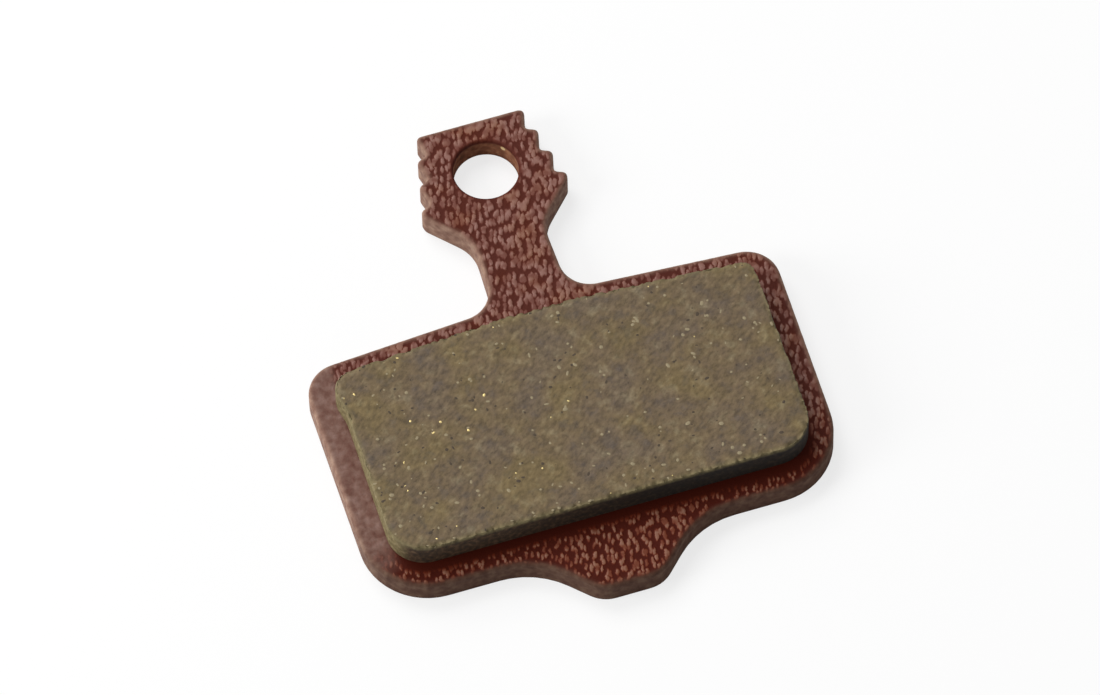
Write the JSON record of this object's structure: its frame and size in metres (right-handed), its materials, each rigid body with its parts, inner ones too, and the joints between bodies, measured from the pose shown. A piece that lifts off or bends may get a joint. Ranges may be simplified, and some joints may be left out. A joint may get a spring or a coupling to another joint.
{
  "type": "disc brake pad",
  "caption": "Disc brake pad: steel backing plate with a serrated tab and pin hole, and a rectangular friction lining keyed to it by plugs.",
  "frame": {"origin": "centre of the pin hole, on the plate's back face", "axes": "+Y up the tab along the pad's longest extent, +Z from the back face to the rubbing face, +X to the right seen from the rubbing face with the tab up"},
  "size_m": [0.0296, 0.0332, 0.0034],
  "materials": {
    "coated_steel": "fine wrinkled red-brown coating on the front and edges, ground bare on the back",
    "lining_compound": "matt olive-brown moulded compound with metal flecks"
  },
  "bodies": {
    "root": {"backing_plate": "coated_steel", "friction_lining": "lining_compound"}
  },
  "joints": []
}
